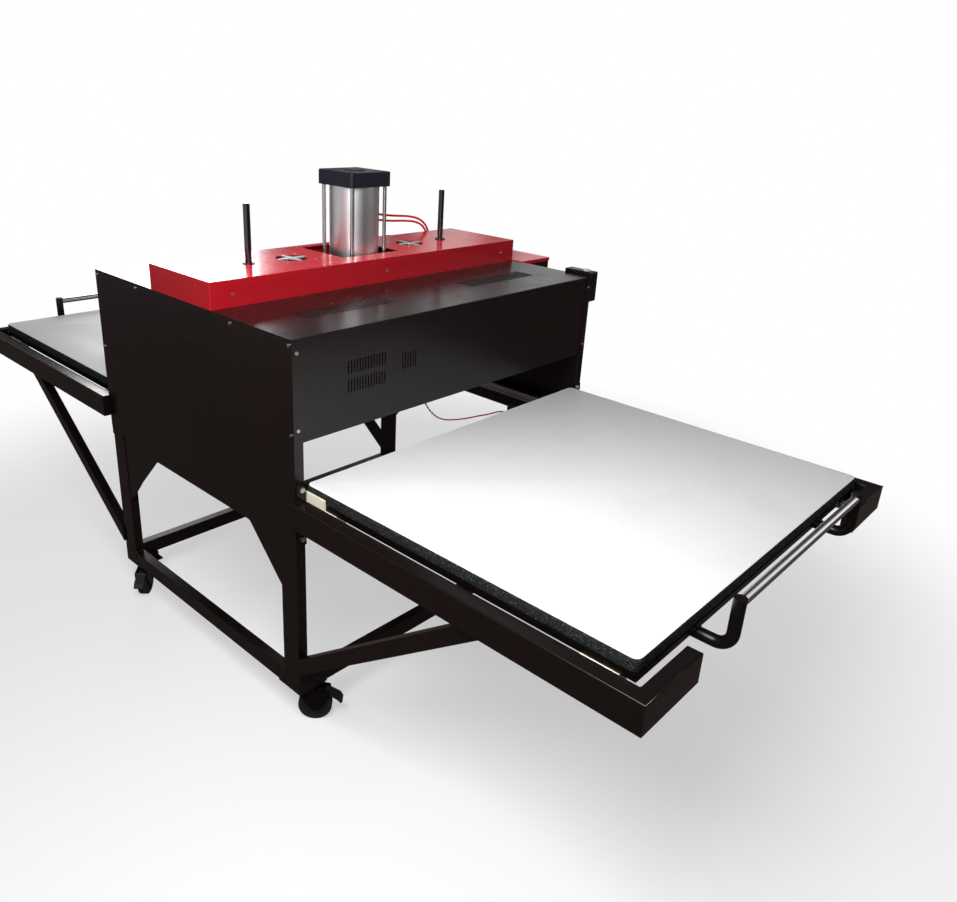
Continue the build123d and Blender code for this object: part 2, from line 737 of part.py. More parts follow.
with BuildPart() as cabinet_lid:
    block((body_half_width, cabinet_right + lid_lip), lid_y, (cabinet_z[1], cabinet_z[1] + 12))
    fillet(cabinet_lid.edges().filter_by(Axis.Z), 3)
    fillet(cabinet_lid.faces().sort_by(Axis.Z)[-1].edges(), 2)
    lid_inside_y = (lid_y[0] + 4, lid_y[1] - 4)
    lid_inside_z = (cabinet_z[1] - 1, cabinet_z[1] + 9)
    block((body_half_width + 3, cabinet_right - 2), lid_inside_y, lid_inside_z, Mode.SUBTRACT)
keep(cabinet_lid, "cabinet_lid")

with BuildPart() as control_panel:
    block(panel_x, (panel_face, cabinet_y[0]), panel_z)
    fillet(control_panel.edges().filter_by(Axis.Y), 6)
    window_x = (panel_x[0] + 12, panel_x[1] - 12)
    window_z = (panel_z[1] - 58, panel_z[1] - 12)
    block(window_x, (panel_face - 1, panel_face + 1.5), window_z, Mode.SUBTRACT)
    for i in range(4):
        key_left = panel_x[0] + 18 + key_pitch * i
        key_z = (panel_z[0] + 22, panel_z[0] + 34)
        block((key_left, key_left + key_width), (panel_face - 2, panel_face), key_z)
    for rise in (56, 76):
        strip_z = (panel_z[0] + rise, panel_z[0] + rise + 3)
        block((panel_x[0] + 18, panel_x[1] - 18), (panel_face - 0.6, panel_face), strip_z)
keep(control_panel, "control_panel")

# Push-button station at the right front corner of the head
start_x = body_half_width + 21
start_y = -body_half_depth + 37
station_top = body_top + 13
station_y = (-body_half_depth + 1, -body_half_depth + 115)

with BuildPart() as button_station:
    block((body_half_width, body_half_width + 41), station_y, (body_top - 91, station_top))
    fillet(button_station.edges(), 4)
    post(start_x, start_y, (station_top - 12, station_top + 1), 11 + running, Mode.SUBTRACT)
keep(button_station, "button_station")

with BuildPart() as start_button:
    post(start_x, start_y, (station_top - 5, station_top + 5), 11)
    fillet(start_button.edges().group_by(Axis.Z)[-1], 1.5)
keep(start_button, "start_button")

with BuildPart() as stop_button:
    with Locations((stop_x, cabinet_y[0] - 3, stop_z)):
        Cylinder(8, 14, rotation=(90, 0, 0))
    with Locations((stop_x, cabinet_y[0] - 16, stop_z)):
        Cylinder(20, 12, rotation=(90, 0, 0))
    fillet(stop_button.faces().sort_by(Axis.Y)[0].edges(), 4)
keep(stop_button, "stop_button")

# Fasteners: small cover screws and the hexagon bolts of the rail plates
screw_radius = 4.5
screw_height = 2.5
screw_y = body_half_depth - 12
screw_low = hood_bottom + 24
screw_high = body_top - 15
shared_screws = [
    (-screw_y, screw_low),
    (screw_y, screw_high),
    (screw_y, screw_low),
    (-250, body_top - 14),
    (254, body_top - 14),
]
cover_screws = {-1: shared_screws + [(-screw_y, screw_high)], 1: shared_screws}

with BuildPart() as fasteners:
    for side in (-1, 1):
        outward = Plane(origin=(side * body_half_width, 0, 0), x_dir=(0, 1, 0), z_dir=(side, 0, 0))
        with BuildSketch(outward):
            for y, z in cover_screws[side]:
                with Locations((y, z * side)):
                    Circle(screw_radius)
        extrude(amount=screw_height)
    for end in (-1, 1):
        face = Plane(origin=(0, end * body_half_depth, 0), x_dir=(1, 0, 0), z_dir=(0, end, 0))
        with BuildSketch(face):
            for x in (-body_half_width + flange / 2, body_half_width - flange / 2):
                for z in (body_top - 35, hood_bottom + 37):
                    with Locations((x, -end * z)):
                        Circle(screw_radius)
        extrude(amount=screw_height)
        ledge = Plane(origin=(0, end * cover_half_depth, 0), x_dir=(1, 0, 0), z_dir=(0, end, 0))
        with BuildSketch(ledge):
            for x in (-body_half_width + 71, 0, body_half_width - 71):
                with Locations((x, -end * (body_top + 35))):
                    Circle(screw_radius)
        extrude(amount=screw_height)
        for side in (-1, 1):
            plate_y = end * (leg_front + plate_thickness)
            plate_face = Plane(origin=(0, plate_y, 0), x_dir=(1, 0, 0), z_dir=(0, end, 0))
            with BuildSketch(plate_face):
                for z in (plate_low + 20, plate_low + 48, plate_high - 14):
                    with Locations((side * (leg_inner + leg_width / 2), -end * z)):
                        RegularPolygon(8, 6)
            extrude(amount=6)
    with BuildSketch(Plane.XY.offset(cover_top)):
        for side in (-1, 1):
            with Locations((side * fan_x, 0)):
                with GridLocations(fan_side - 15, fan_side - 15, 2, 2):
                    Circle(3.5)
    extrude(amount=1.5)
keep(fasteners, "fasteners")


# Hose fittings: a straight one on the head cap, an elbow on the base cap, two in the hood top
hose_radius = 4.0
fitting_radius = 7.0
head_port = (40.0, cylinder_side / 2 + 18, barrel_top + 22)
elbow_x = 60.0
elbow_y = cylinder_side / 2 + 23
elbow_z = cap_low + 24
elbow_top = elbow_z + 32
ports_top = body_top + 22
upper_port = (545.0, 186.0)
lower_port = (521.0, 173.0)

with BuildPart() as hose_fittings:
    rear_face = cylinder_side / 2
    with Locations((head_port[0], (rear_face + head_port[1]) / 2, head_port[2])):
        Cylinder(fitting_radius, head_port[1] - rear_face, rotation=(90, 0, 0))
    with BuildSketch(Plane(origin=(head_port[0], rear_face, head_port[2]), z_dir=(0, 1, 0))):
        RegularPolygon(10, 6)
    extrude(amount=6)
    with Locations((elbow_x, (rear_face + elbow_y) / 2, elbow_z)):
        Cylinder(fitting_radius, elbow_y - rear_face, rotation=(90, 0, 0))
    post(elbow_x, elbow_y, (elbow_z, elbow_top), fitting_radius)
    with Locations((elbow_x, elbow_y, elbow_z)):
        Sphere(fitting_radius)
    for x, y in (upper_port, lower_port):
        with BuildSketch(Plane.XY.offset(body_top)):
            with Locations((x, y)):
                RegularPolygon(10, 6)
        extrude(amount=8)
        post(x, y, (body_top, ports_top), fitting_radius)
keep(hose_fittings, "hose_fittings")

# Sensor cable ends: a gland and a limit switch under the right-hand beam
cable_radius = 3.5
cable_x = leg_inner + 9
gland_y = 280.0
gland_low = mid_beam_bottom - 24
switch_face = -214.0
switch_z = mid_beam_bottom - 44
switch_x = (cable_x - 8, cable_x + 12)
switch_y = (switch_face - 38, switch_face)

with BuildPart() as limit_switch:
    post(cable_x, gland_y, (gland_low, mid_beam_bottom), 8)
    block(switch_x, switch_y, (switch_z - 18, switch_z + 30))
    block((switch_x[0], switch_x[0] + 3), switch_y, (switch_z - 18, mid_beam_bottom))
    with Locations((cable_x, switch_face - 26, switch_z - 22)):
        Cylinder(5, 12)
    fillet(limit_switch.edges().filter_by(Axis.X).group_by(Axis.Z)[0], 2)
keep(limit_switch, "limit_switch")


def cord(points, radius, name):
    """Sweeps a tube along straight runs and tangent arcs, and prints its radii and volume."""
    bends = []
    for before, here, after in zip(points, points[1:], points[2:]):
        first = Vector(here) - Vector(before)
        second = Vector(after) - Vector(here)
        shorter = min(first.length, second.length)
        bends.append(0.45 * shorter / tan(radians(first.get_angle(second)) / 2))
    with BuildPart() as tube:
        with BuildLine() as route:
            FilletPolyline(*points, radius=bends)
        start = Vector(points[1]) - Vector(points[0])
        with BuildSketch(Plane(origin=points[0], z_dir=start)):
            Circle(radius)
        sweep()
    length = route.wires()[0].length
    section = 3.141593 * radius**2
    print(name, "radii", [round(b) for b in bends], "length", round(length, 1))
    print(name, "volume ratio", round(tube.part.volume / (section * length), 4))
    return tube


# Air hoses, from the cylinder caps down to the ports behind the top cover
upper_points = [
    head_port,
    (40, 135, 1497),
    (46, 163, 1482),
    (62, 178, 1456),
    (94, 182, 1420),
    (138, 173, 1384),
    (194, 163, 1358),
    (258, 156, 1344),
    (328, 152, 1336),
    (392, 153, 1331),
    (448, 158, 1320),
    (494, 168, 1300),
    (526, 179, 1274),
    (545, 186, 1246),
    (545, 186, ports_top),
]
lower_points = [
    (elbow_x, elbow_y, elbow_top),
    (60, 108, 1288),
    (74, 115, 1312),
    (106, 127, 1329),
    (154, 138, 1336),
    (218, 144, 1332),
    (290, 145, 1321),
    (362, 146, 1317),
    (424, 150, 1310),
    (472, 158, 1294),
    (503, 167, 1271),
    (521, 173, 1246),
    (521, 173, ports_top),
]
keep(cord(upper_points, hose_radius, "air_hose_upper"), "air_hose_upper")
keep(cord(lower_points, hose_radius, "air_hose_lower"), "air_hose_lower")

# Sensor cable, hanging below the right side cover
cable_points = [
    (cable_x, gland_y, gland_low),
    (cable_x, 280, 584),
    (cable_x, 266, 542),
    (cable_x, 240, 504),
    (cable_x, 206, 476),
    (cable_x, 164, 462),
    (cable_x, 118, 466),
    (cable_x, 62, 484),
    (cable_x, 0, 509),
    (cable_x, -60, 538),
    (cable_x, -112, 560),
    (cable_x, -156, 584),
    (cable_x, -186, switch_z),
    (cable_x, switch_face, switch_z),
]
keep(cord(cable_points, cable_radius, "sensor_cable"), "sensor_cable")
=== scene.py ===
import bpy
import bmesh
import json
import math
from mathutils import Euler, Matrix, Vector, noise


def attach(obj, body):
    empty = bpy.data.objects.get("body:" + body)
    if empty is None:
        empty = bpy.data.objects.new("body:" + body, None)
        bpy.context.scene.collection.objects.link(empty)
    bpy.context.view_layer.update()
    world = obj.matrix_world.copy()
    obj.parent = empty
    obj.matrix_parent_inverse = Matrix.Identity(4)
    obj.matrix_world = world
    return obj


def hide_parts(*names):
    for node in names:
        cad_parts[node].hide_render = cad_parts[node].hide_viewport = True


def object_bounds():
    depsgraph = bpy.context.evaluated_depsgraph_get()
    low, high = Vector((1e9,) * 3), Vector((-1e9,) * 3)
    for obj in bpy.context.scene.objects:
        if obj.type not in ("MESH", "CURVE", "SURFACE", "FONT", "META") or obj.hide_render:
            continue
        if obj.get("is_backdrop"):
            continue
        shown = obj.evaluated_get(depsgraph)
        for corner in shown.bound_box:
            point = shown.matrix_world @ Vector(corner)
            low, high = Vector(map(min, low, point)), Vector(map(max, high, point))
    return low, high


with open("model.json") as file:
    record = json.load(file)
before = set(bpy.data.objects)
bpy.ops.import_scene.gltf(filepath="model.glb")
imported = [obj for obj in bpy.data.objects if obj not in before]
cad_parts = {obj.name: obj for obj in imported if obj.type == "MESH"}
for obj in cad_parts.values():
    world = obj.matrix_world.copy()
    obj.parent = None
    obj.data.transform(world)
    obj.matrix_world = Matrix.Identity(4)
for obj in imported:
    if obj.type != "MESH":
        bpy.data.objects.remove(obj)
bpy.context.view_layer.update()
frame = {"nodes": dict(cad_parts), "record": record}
midX = -0.066245  # the press head's middle plane in the part's own frame


def at(x, y, z):  # millimetres about the head's middle to metres in the part's frame
    return Vector((x / 1000 + midX, y / 1000, z / 1000))


# camera, as the photograph stands
cameraView = {"place": (-1788, -2066, 1753), "turn": (68.59, -2.55, -46.63), "lens": 30.8,
              "shift": (0.0365, -0.0358)}
camera = bpy.data.objects.new("camera", bpy.data.cameras.new("camera"))
camera.data.lens = cameraView["lens"]
camera.data.shift_x, camera.data.shift_y = cameraView["shift"]
camera.location = at(*cameraView["place"])
camera.rotation_euler = Euler([math.radians(a) for a in cameraView["turn"]])
bpy.context.collection.objects.link(camera)
bpy.context.scene.camera = camera
print("camera placed")


# shader helpers
class Value:  # one socket that takes part in sums
    def __init__(self, finish, socket):
        self.finish = finish
        self.socket = socket

    def maths(self, operation, *terms):
        return self.finish.node("ShaderNodeMath", {"operation": operation}, dict(enumerate(terms)))

    def __add__(self, other):
        return self.maths("ADD", self, other)

    def __radd__(self, other):
        return self.maths("ADD", other, self)

    def __sub__(self, other):
        return self.maths("SUBTRACT", self, other)

    def __rsub__(self, other):
        return self.maths("SUBTRACT", other, self)

    def __mul__(self, other):
        return self.maths("MULTIPLY", self, other)

    def __rmul__(self, other):
        return self.maths("MULTIPLY", other, self)

    def size(self):
        return self.maths("ABSOLUTE", self)

    def above(self, limit, soft=0.02):  # 0 below the limit, 1 above it, with a soft step
        return self.finish.node("ShaderNodeMapRange", {"clamp": True},
                                {0: self, 1: limit - soft, 2: limit + soft, 3: 0.0, 4: 1.0})


class Nodes:  # a node tree, a material's or the world's
    def __init__(self, tree):
        self.tree = tree

    def node(self, kind, settings=None, values=None, out=0):
        made = self.tree.nodes.new(kind)
        for key, value in (settings or {}).items():
            setattr(made, key, value)
        for key, value in (values or {}).items():
            if isinstance(value, Value):
                self.tree.links.new(value.socket, made.inputs[key])
            else:
                made.inputs[key].default_value = value
        return Value(self, made.outputs[out])


class Finish(Nodes):  # a material with its principled shader
    def __init__(self, name, colour, roughness, **fixed):
        self.material = bpy.data.materials.new(name)
        self.material.use_nodes = True
        super().__init__(self.material.node_tree)
        self.shader = self.tree.nodes["Principled BSDF"]
        self.colour = (*colour, 1.0)
        self.put("Base Color", self.colour)
        self.put("Roughness", roughness)
        for socket, value in fixed.items():
            self.put(socket.replace("_", " "), value)

    def put(self, socket, value):
        if isinstance(value, Value):
            self.tree.links.new(value.socket, self.shader.inputs[socket])
        else:
            self.shader.inputs[socket].default_value = value

    def spot(self, stretch=(1, 1, 1)):
        where = self.node("ShaderNodeTexCoord", out=3)
        return self.node("ShaderNodeMapping", None, {0: where, 3: stretch})

    def grain(self, scale, detail=3.0, stretch=(1, 1, 1), rough=0.5):
        return self.node("ShaderNodeTexNoise", None,
                         {"Vector": self.spot(stretch), "Scale": scale, "Detail": detail, "Roughness": rough})

    def cells(self, scale):
        return self.node("ShaderNodeTexVoronoi", None, {"Vector": self.spot(), "Scale": scale})

    def axis(self, letter):
        where = self.node("ShaderNodeTexCoord", out=3)
        return self.node("ShaderNodeSeparateXYZ", None, {0: where}, out="XYZ".index(letter))

    def blend(self, factor, first, second):
        return self.node("ShaderNodeMix", {"data_type": "RGBA"}, {0: factor, 6: first, 7: second}, out=2)

    def bump(self, height, strength, distance=0.001):
        self.put("Normal", self.node("ShaderNodeBump", None,
                                     {"Height": height, "Strength": strength, "Distance": distance}))


def tint(colour, amount):
    return tuple(min(1.0, c * amount) for c in colour[:3]) + (1.0,)


def powderCoat(name, look):
    coat = Finish(name, look["colour"], look["roughness"], Specular_IOR_Level=look["gloss"])
    drift = coat.grain(2.2, 4.0)
    scratches = coat.grain(look.get("scuffScale", 26), 8.0, look.get("scuffRun", (1, 1, 1)), 0.7)
    scuff = scratches.above(0.66, 0.05)
    rub = coat.grain(5.0, 2.0).above(0.5, 0.15)
    base = coat.blend(drift, tint(coat.colour, 0.75), tint(coat.colour, 1.3))
    coat.put("Base Color", coat.blend(scuff * rub * look["wear"], base, (*look["dust"], 1.0)))
    coat.put("Roughness", look["roughness"] - 0.06 + coat.grain(14.0, 5.0) * 0.12 + scuff * rub * 0.15)
    coat.bump(coat.grain(look["peel"], 2.0), look["peelDepth"], 0.0004)
    return coat.material


def glossPaint(name, look):
    paint = Finish(name, look["colour"], look["roughness"], Specular_IOR_Level=look["gloss"],
                   Coat_Roughness=0.12)
    drift = paint.grain(1.7, 3.0)
    facing = paint.node("ShaderNodeTexCoord", out=1)
    upward = paint.node("ShaderNodeSeparateXYZ", None, {0: facing}, out=2)
    # upward-facing faces take a much lighter red: painted light, the top made brighter as if lit from above
    paintedLitTop = paint.blend(upward.above(0.9, 0.05), paint.colour, (*look["paintedLitTop"], 1.0))
    paint.put("Base Color", paint.blend(drift * 0.12, paintedLitTop, tint(paint.colour, 0.5)))
    paint.put("Roughness", look["roughness"] - 0.05 + paint.grain(8.0, 6.0, (1, 1, 1), 0.65) * 0.12)
    paint.put("Coat Weight", look["coat"])
    paint.bump(paint.grain(260.0, 2.0), 0.05, 0.0004)
    return paint.material


def drawnMetal(name, look):
    metal = Finish(name, look["colour"], look["roughness"], Metallic=1.0)
    lines = metal.grain(look["scale"], 6.0, look["run"], 0.65)
    smudge = metal.grain(9.0, 4.0)
    dark = tint(metal.colour, look.get("dark", 0.86))
    metal.put("Base Color", metal.blend(smudge, dark, tint(metal.colour, 1.05)))
    metal.put("Roughness", look["roughness"] - look["spread"] / 2 + lines * look["spread"] + smudge * 0.04)
    metal.bump(lines, look["depth"], 0.0003)
    return metal.material


def mouldedPlastic(name, look):
    plastic = Finish(name, look["colour"], look["roughness"], Specular_IOR_Level=0.4)
    drift = plastic.grain(12.0, 4.0)
    plastic.put("Base Color", plastic.blend(drift, tint(plastic.colour, 0.85), tint(plastic.colour, 1.15)))
    plastic.put("Roughness", look["roughness"] - 0.05 + plastic.grain(60.0, 4.0) * 0.1)
    plastic.bump(plastic.grain(look.get("scale", 1400.0), 2.0), look.get("depth", 0.12), 0.0003)
    return plastic.material


def dustyRubber(name, look):
    rubber = Finish(name, look["colour"], look["roughness"], Specular_IOR_Level=0.3)
    dust = rubber.grain(35.0, 7.0, (1, 1, 1), 0.7).above(0.55, 0.12)
    rubber.put("Base Color", rubber.blend(dust * 0.5, rubber.colour, (*look["dust"], 1.0)))
    rubber.put("Roughness", look["roughness"] - 0.05 + dust * 0.12)
    rubber.bump(rubber.grain(500.0, 4.0), 0.25, 0.0006)
    return rubber.material


def speckledFoam(name, look):
    foam = Finish(name, look["colour"], 0.9, Specular_IOR_Level=0.2)
    crumbs = foam.cells(look["crumb"])
    fleck = foam.grain(look["fleck"], 3.0, (1, 1, 1), 0.6).above(0.63, 0.03)
    base = foam.blend(crumbs, tint(foam.colour, 1.7), tint(foam.colour, 0.6))
    foam.put("Base Color", foam.blend(fleck * 0.75, base, (*look["speck"], 1.0)))
    foam.bump(crumbs * 0.6 + foam.grain(240.0, 4.0), 0.8, 0.0018)
    return foam.material


def whiteSheet(name, look):
    white = Finish(name, look["colour"], look["roughness"], Specular_IOR_Level=look["gloss"])
    stain = white.grain(5.5, 6.0, (1, 1, 1), 0.62).above(0.60, 0.10)
    spots = white.grain(60.0, 5.0, (1, 1, 1), 0.6).above(0.70, 0.03)
    base = white.blend(stain * 0.5, white.colour, (*look["stain"], 1.0))
    white.put("Base Color", white.blend(spots * 0.25, base, (*look["speck"], 1.0)))
    white.put("Roughness", look["roughness"] - 0.04 + white.grain(3.0, 4.0) * 0.10 + stain * 0.06)
    white.bump(white.grain(520.0, 3.0) * 0.35 + white.grain(11.0, 3.0) * 0.8, 0.16, 0.0012)
    return white.material


def fanPlastic(name, look):
    fan = Finish(name, look["colour"], 0.5, Specular_IOR_Level=0.4)
    fromFan = ((fan.axis("X") - midX).size() - look["fanPlace"]).size()
    nearest = fromFan.maths("MINIMUM", fromFan, fan.axis("Y").size())
    cross = 1.0 - nearest.above(look["armHalf"], 0.0002)
    arms = fan.axis("Z").above(look["armLow"], 0.0002) * cross
    grain = fan.grain(300.0, 3.0)
    fan.put("Base Color", fan.blend(arms, tint(fan.colour, 1.0), (*look["armColour"], 1.0)))
    fan.put("Metallic", arms * 0.9)
    fan.put("Roughness", 0.5 - arms * 0.25 + grain * 0.08)
    fan.bump(grain, 0.1, 0.0003)
    return fan.material


finishes = {
    "body_black": powderCoat("bodyBlack", {
        "colour": (0.0052, 0.0030, 0.0028), "roughness": 0.25, "gloss": 0.31, "wear": 0.16,
        "dust": (0.026, 0.019, 0.017), "peel": 420.0, "peelDepth": 0.05}),
    "tray_black": powderCoat("trayBlack", {
        "colour": (0.0034, 0.0022, 0.0020), "roughness": 0.30, "gloss": 0.32, "wear": 0.25,
        "dust": (0.024, 0.018, 0.016), "peel": 420.0, "peelDepth": 0.06, "scuffRun": (1, 0.3, 1)}),
    "carrier_grey": powderCoat("carrierGrey", {
        "colour": (0.10, 0.10, 0.105), "roughness": 0.5, "gloss": 0.3, "wear": 0.5,
        "dust": (0.2, 0.19, 0.18), "peel": 300.0, "peelDepth": 0.2}),
    "cap_navy": powderCoat("capNavy", {
        "colour": (0.0070, 0.0085, 0.0160), "roughness": 0.36, "gloss": 0.3, "wear": 0.4,
        "dust": (0.05, 0.055, 0.065), "peel": 900.0, "peelDepth": 0.12, "scuffScale": 60}),
    "cover_red": glossPaint("coverRed", {
        # the second red is painted light on the upward faces, lighter than the sides as if lit from above
        "colour": (0.36, 0.0025, 0.009), "paintedLitTop": (0.98, 0.016, 0.042), "roughness": 0.26, "gloss": 0.30,
        "coat": 0.32}),
    "barrel_aluminium": drawnMetal("barrelAluminium", {
        "colour": (0.80, 0.82, 0.84), "roughness": 0.34, "spread": 0.12, "scale": 90.0,
        "run": (1, 1, 0.02), "depth": 0.10}),
    "platen_aluminium": drawnMetal("platenAluminium", {
        "colour": (0.62, 0.62, 0.63), "roughness": 0.34, "spread": 0.16, "scale": 70.0,
        "run": (0.02, 1, 1), "depth": 0.14}),
    "guide_steel": drawnMetal("guideSteel", {
        "colour": (0.52, 0.52, 0.53), "roughness": 0.28, "spread": 0.16, "scale": 120.0,
        "run": (1, 0.02, 1), "depth": 0.12, "dark": 0.7}),
    "bush_steel": drawnMetal("bushSteel", {
        "colour": (0.06, 0.06, 0.065), "roughness": 0.35, "spread": 0.12, "scale": 120.0,
        "run": (1, 1, 1), "depth": 0.1}),
    "rod_chrome": drawnMetal("rodChrome", {
        "colour": (0.62, 0.62, 0.63), "roughness": 0.16, "spread": 0.08, "scale": 140.0,
        "run": (0.03, 1, 1), "depth": 0.05}),
    # a darker copy of the chrome, for the guide rods alone: painted shade
    "rod_chrome_shaded": drawnMetal("rodChromeShaded", {
        "colour": (0.09, 0.078, 0.083), "roughness": 0.18, "spread": 0.08, "scale": 140.0,
        "run": (1, 1, 0.03), "depth": 0.05}),
    "screw_steel": drawnMetal("screwSteel", {
        "colour": (0.66, 0.66, 0.66), "roughness": 0.26, "spread": 0.1, "scale": 300.0,
        "run": (1, 1, 1), "depth": 0.1}),
    "caster_black": drawnMetal("casterBlack", {
        "colour": (0.045, 0.043, 0.043), "roughness": 0.38, "spread": 0.14, "scale": 160.0,
        "run": (1, 1, 1), "depth": 0.15, "dark": 0.6}),
    "fitting_brass": drawnMetal("fittingBrass", {
        "colour": (0.62, 0.56, 0.42), "roughness": 0.24, "spread": 0.1, "scale": 260.0,
        "run": (1, 1, 1), "depth": 0.1}),
    "fan_plastic": fanPlastic("fanPlastic", {
        "colour": (0.010, 0.010, 0.011), "armLow": 1.2597, "armHalf": 0.0054, "fanPlace": 0.255,
        "armColour": (0.90, 0.90, 0.90)}),
    "switch_black": mouldedPlastic("switchBlack", {"colour": (0.012, 0.012, 0.012), "roughness": 0.45}),
    "panel_grey": mouldedPlastic("panelGrey", {"colour": (0.055, 0.056, 0.06), "roughness": 0.5}),
    "button_grey": mouldedPlastic("buttonGrey", {
        "colour": (0.62, 0.63, 0.62), "roughness": 0.3, "depth": 0.04}),
    "button_red": mouldedPlastic("buttonRed", {
        "colour": (0.50, 0.006, 0.008), "roughness": 0.3, "depth": 0.04}),
    "glide_cream": mouldedPlastic("glideCream", {
        "colour": (0.74, 0.68, 0.54), "roughness": 0.5, "scale": 700.0}),
    "pedal_black": mouldedPlastic("pedalBlack", {"colour": (0.012, 0.011, 0.011), "roughness": 0.5}),
    "hose_red": mouldedPlastic("hoseRed", {
        "colour": (0.86, 0.010, 0.035), "roughness": 0.22, "depth": 0.03}),
    "cable_red": mouldedPlastic("cableRed", {
        "colour": (0.85, 0.012, 0.035), "roughness": 0.45, "depth": 0.1}),
    "wheel_black": dustyRubber("wheelBlack", {"colour": (0.010, 0.009, 0.009), "roughness": 0.62,
                                              "dust": (0.03, 0.026, 0.023)}),
    "pad_black": speckledFoam("padBlack", {"colour": (0.008, 0.009, 0.0085), "crumb": 190.0, "fleck": 330.0,
                                           "speck": (0.16, 0.17, 0.16)}),
    "sheet_white": whiteSheet("sheetWhite", {"colour": (0.79, 0.79, 0.795), "roughness": 0.42, "gloss": 0.3,
                                             "stain": (0.71, 0.71, 0.71), "speck": (0.60, 0.59, 0.57)}),
}
print("finishes made:", len(finishes))

slotOf = {part["node"]: part["material_slot"] for part in frame["record"]["subparts"]}
for name, node in frame["nodes"].items():
    node.data.materials.clear()
    # the guide rods get a darker copy of the chrome finish: painted shade on the rods
    node.data.materials.append(finishes["rod_chrome_shaded" if name == "guide_rods" else slotOf[name]])
print("frame dressed:", len(frame["nodes"]))


# mesh helpers
def meshPiece(name, work, slot, body, smooth=True, look=None):
    mesh = bpy.data.meshes.new(name)
    work.to_mesh(mesh)
    work.free()
    for face in mesh.polygons:
        face.use_smooth = smooth
    piece = bpy.data.objects.new(name, mesh)
    bpy.context.collection.objects.link(piece)
    piece.data.materials.append(look or finishes[slot])
    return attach(piece, body)


def loft(work, loops):  # joins rings of equal count, with flat ends
    rings = [[work.verts.new(p) for p in loop] for loop in loops]
    for low, high in zip(rings, rings[1:]):
        for i in range(len(low)):
            j = (i + 1) % len(low)
            work.faces.new((low[i], low[j], high[j], high[i]))
    work.faces.new(list(reversed(rings[0])))
    work.faces.new(rings[-1])


def ringOf(middle, across, upright, radius, sides):  # places round a circle that lies along two ways
    turns = [2 * math.pi * i / sides for i in range(sides)]
    return [middle + (across * math.cos(a) + upright * math.sin(a)) * radius for a in turns]


def roundedOutline(low, high, radius, step):  # places round a rectangle, each with its way out
    bends = []
    (x0, y0), (x1, y1) = low[:2], high[:2]
    corners = ((x1, y1, 0), (x0, y1, 90), (x0, y0, 180), (x1, y0, 270))
    for x, y, start in corners:
        cx = x - radius if start in (0, 270) else x + radius
        cy = y - radius if start in (0, 90) else y + radius
        for k in range(7):
            a = math.radians(start + 15 * k)
            bends.append((Vector((cx + radius * math.cos(a), cy + radius * math.sin(a), 0)),
                          Vector((math.cos(a), math.sin(a), 0))))
    full = []
    for (here, out), (there, nextOut) in zip(bends, bends[1:] + bends[:1]):
        count = max(1, round((there - here).length / step))
        for k in range(count):
            full.append((here.lerp(there, k / count), out.lerp(nextOut, k / count).normalized()))
    return full


# air hoses, each a smooth line through the route's own points
hoseLook = {"diameter": 0.008, "upperLength": 0.680, "lowerLength": 0.571}
hoseRoutes = {
    "airHoseUpper": ("air_hose_upper", hoseLook["upperLength"], [
        (40, 103, 1497), (40, 135, 1497), (46, 163, 1482), (62, 178, 1456), (94, 182, 1420),
        (138, 173, 1384), (194, 163, 1358), (258, 156, 1344), (328, 152, 1336), (392, 153, 1331),
        (448, 158, 1320), (494, 168, 1300), (526, 179, 1274), (545, 186, 1246), (545, 186, 1212)]),
    "airHoseLower": ("air_hose_lower", hoseLook["lowerLength"], [
        (60, 108, 1256), (60, 108, 1288), (74, 115, 1312), (106, 127, 1329), (154, 138, 1336),
        (218, 144, 1332), (290, 145, 1321), (362, 146, 1317), (424, 150, 1310), (472, 158, 1294),
        (503, 167, 1271), (521, 173, 1246), (521, 173, 1212)]),
}


def smoothLine(name, route):
    line = bpy.data.curves.new(name, "CURVE")
    line.dimensions = "3D"
    spline = line.splines.new("NURBS")
    spline.points.add(len(route) - 1)
    for point, place in zip(spline.points, route):
        point.co = (*at(*place), 1)
    spline.order_u = 3
    spline.use_endpoint_u = True
    line.resolution_u = 10
    return line


for name, (node, length, route) in hoseRoutes.items():
    line = smoothLine(name, route)
    line.bevel_depth = hoseLook["diameter"] / 2
    line.bevel_resolution = 5
    line.use_fill_caps = True
    hose = bpy.data.objects.new(name, line)
    bpy.context.collection.objects.link(hose)
    line.materials.append(finishes["hose_red"])
    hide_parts(node)
    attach(hose, "frame")
    at(*route[0])
print("air hoses laid")

# sensor cable: two cores twisted round one line
cableLook = {"diameter": 0.007, "core": 0.00175, "pitch": 0.034, "sides": 8, "length": 0.610, "step": 0.002,
             "x": 619, "route": ((280, 616), (280, 584), (266, 542), (240, 504), (206, 476), (164, 462),
                                 (118, 466), (62, 484), (0, 509), (-60, 538), (-112, 560), (-156, 584),
                                 (-186, 596), (-214, 596))}
cableRoute = [(cableLook["x"], y, z) for y, z in cableLook["route"]]
guide = bpy.data.objects.new("cableGuide", smoothLine("cableGuide", cableRoute))
bpy.context.collection.objects.link(guide)
bpy.context.view_layer.update()
walked = bpy.data.meshes.new_from_object(guide.evaluated_get(bpy.context.evaluated_depsgraph_get()))
track = [v.co.copy() for v in walked.vertices]
bpy.data.objects.remove(guide)


def evenly(points, step):  # the same line with points a step apart
    out = [points[0]]
    left = step
    for a, b in zip(points, points[1:]):
        run = (b - a).length
        spent = 0.0
        while run - spent >= left:
            spent += left
            out.append(a.lerp(b, spent / run))
            left = step
        left -= run - spent
    if (out[-1] - points[-1]).length > step * 0.3:
        out.append(points[-1])
    else:
        out[-1] = points[-1]
    return out


